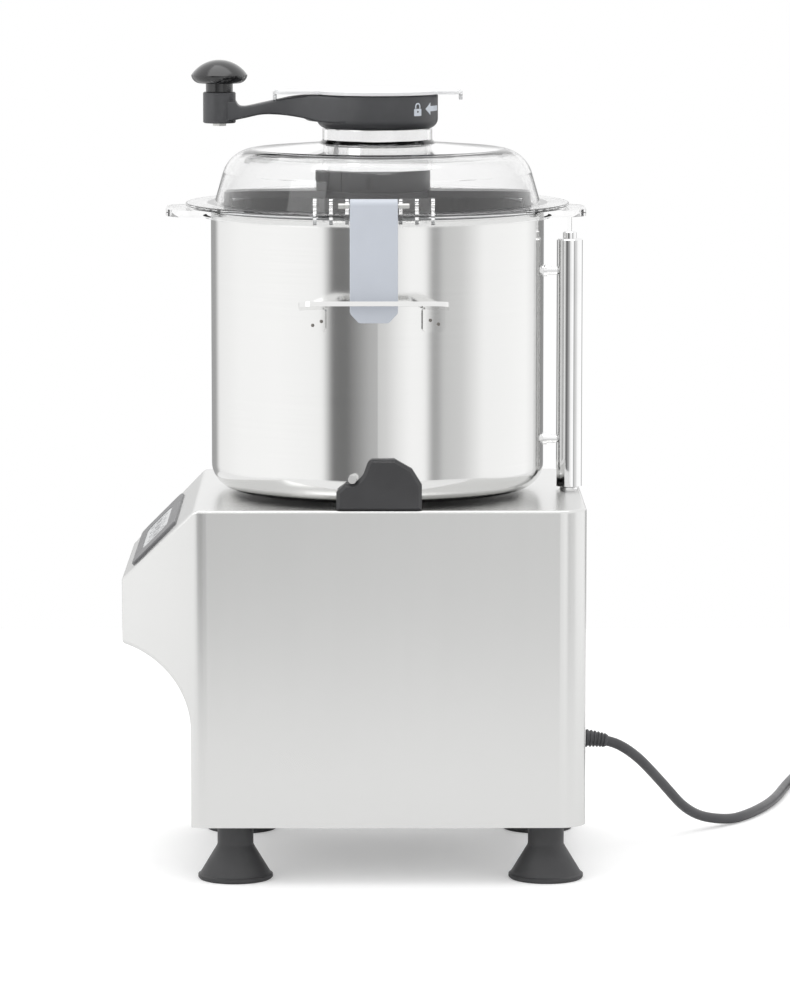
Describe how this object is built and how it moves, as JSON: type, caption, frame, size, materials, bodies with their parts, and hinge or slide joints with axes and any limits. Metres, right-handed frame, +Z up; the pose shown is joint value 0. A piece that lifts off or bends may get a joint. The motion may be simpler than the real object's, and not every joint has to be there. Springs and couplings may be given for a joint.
{
  "type": "bowl cutter",
  "caption": "Bench-top bowl cutter: brushed steel stand with a control nose, lift-off bowl, S-blades, clear domed lid, crank-turned scraper and side latches.",
  "frame": {"origin": "on the floor, under the middle of the machine without its cord", "axes": "+Z up, -Y towards the control nose, +X to the right of someone behind the machine"},
  "size_m": [0.5422, 0.6387, 0.5864],
  "materials": {
    "housing_steel": "fine vertical brushed stainless steel",
    "bowl_steel": "satin stainless steel, turned finish",
    "blade_steel": "ground stainless steel",
    "zinc_steel": "plain zinc-plated steel",
    "chrome": "polished",
    "clear_lid": "clear polycarbonate",
    "frosted_cover": "translucent white plastic",
    "crank_plastic": "dark grey satin moulding",
    "knob_plastic": "glossy black moulding",
    "scraper_plastic": "dark grey moulding",
    "latch_plastic": "pale blue-grey satin plastic",
    "stop_plastic": "black satin moulding",
    "foot_rubber": "dark grey rubber",
    "bezel_plastic": "mid grey moulding",
    "display_film": "pale grey membrane window",
    "circuit_board": "green board with black parts",
    "motor_paint": "dark grey enamel",
    "cast_alloy": "cast",
    "stator_iron": "laminated iron with varnished windings",
    "seal_rubber": "black",
    "gasket_rubber": "grey silicone",
    "cord_rubber": "black cord sheath"
  },
  "bodies": {
    "root": {"housing_shell": "housing_steel", "base_plate": "housing_steel", "foot_front_right": "foot_rubber", "foot_front_left": "foot_rubber", "foot_rear_right": "foot_rubber", "foot_rear_left": "foot_rubber", "foot_bolts": "zinc_steel", "panel_bezel": "bezel_plastic", "panel_display": "display_film", "control_board": "circuit_board", "motor_plate": "zinc_steel", "motor_posts": "zinc_steel", "motor_case": "motor_paint", "stator": "stator_iron", "motor_top_bell": "cast_alloy", "motor_bottom_bell": "cast_alloy", "upper_bearing": "zinc_steel", "lower_bearing": "zinc_steel", "shaft_seal": "seal_rubber", "bowl_seat": "bowl_steel", "run_capacitor": "motor_paint", "bowl_stop_right": "stop_plastic", "bowl_stop_left": "stop_plastic", "microswitch": "knob_plastic", "cable_gland": "seal_rubber", "power_cord": "cord_rubber", "cord_coil": "cord_rubber", "power_plug": "cord_rubber"},
    "drive": {"rotor": "stator_iron", "drive_shaft": "zinc_steel", "cooling_fan": "knob_plastic"},
    "bowl": {"bowl_shell": "bowl_steel", "bowl_tube": "bowl_steel", "bowl_handle_right": "bowl_steel", "bowl_handle_left": "bowl_steel", "bowl_lugs": "bowl_steel", "rod_tube": "chrome", "rod_posts": "chrome", "return_spring": "zinc_steel"},
    "push_rod": {"push_rod": "chrome"},
    "switch_plunger": {"switch_plunger": "chrome"},
    "blades": {"blade_hub": "scraper_plastic", "lower_blades": "blade_steel", "blade_spacer": "scraper_plastic", "upper_blades": "blade_steel", "blade_cap": "scraper_plastic"},
    "lid": {"lid_shell": "clear_lid", "lid_gasket": "gasket_rubber", "lid_hinge_pins": "zinc_steel"},
    "latch_right": {"latch_right": "latch_plastic"},
    "latch_left": {"latch_left": "latch_plastic"},
    "crank": {"crank_arm": "crank_plastic", "crank_sleeve": "chrome", "scraper_hub": "scraper_plastic", "scraper_arms": "scraper_plastic", "knob_screw": "zinc_steel"},
    "knob": {"crank_knob": "knob_plastic"},
    "feed_cover": {"feed_cover": "frosted_cover"}
  },
  "joints": [
    {"name": "drive_spin", "type": "hinge", "parent": "root", "child": "drive", "pos_m": [0, 0.016, 0.3], "axis": [0, 0, 1], "continuous": true},
    {"name": "bowl_lift", "type": "slide", "parent": "root", "child": "bowl", "axis": [0, 0, 1], "range_m": [0, 0.15]},
    {"name": "push_rod_travel", "type": "slide", "parent": "bowl", "child": "push_rod", "axis": [0, 0, 1], "range_m": [-0.002, 0], "stiffness_N_per_m": 600, "springref_m": 0.006, "deforming": ["return_spring"]},
    {"name": "plunger_travel", "type": "slide", "parent": "root", "child": "switch_plunger", "axis": [0, 0, 1], "range_m": [-0.002, 0], "stiffness_N_per_m": 300, "springref_m": 0.004},
    {"name": "blade_spin", "type": "hinge", "parent": "bowl", "child": "blades", "pos_m": [0, 0.016, 0.3], "axis": [0, 0, 1], "continuous": true},
    {"name": "lid_lift", "type": "slide", "parent": "bowl", "child": "lid", "axis": [0, 0, 1], "range_m": [0, 0.2]},
    {"name": "latch_right_swing", "type": "hinge", "parent": "lid", "child": "latch_right", "pos_m": [0.1385, 0.0133, 0.4889], "axis": [0, 1, 0], "range_deg": [-2.5, 10]},
    {"name": "latch_left_swing", "type": "hinge", "parent": "lid", "child": "latch_left", "pos_m": [-0.1385, 0.0133, 0.4889], "axis": [0, -1, 0], "range_deg": [-2.5, 10]},
    {"name": "crank_turn", "type": "hinge", "parent": "lid", "child": "crank", "pos_m": [0, 0.016, 0.3], "axis": [0, 0, 1], "continuous": true},
    {"name": "knob_turn", "type": "hinge", "parent": "crank", "child": "knob", "pos_m": [0, -0.0992, 0.57], "axis": [0, 0, 1], "continuous": true},
    {"name": "feed_cover_lift", "type": "slide", "parent": "crank", "child": "feed_cover", "axis": [0, 0, 1], "range_m": [0, 0.06]}
  ],
  "couplings": [
    {"joint": "blade_spin", "follows": "drive_spin", "ratio": 1},
    {"joint": "plunger_travel", "follows": "push_rod_travel", "ratio": 1}
  ]
}
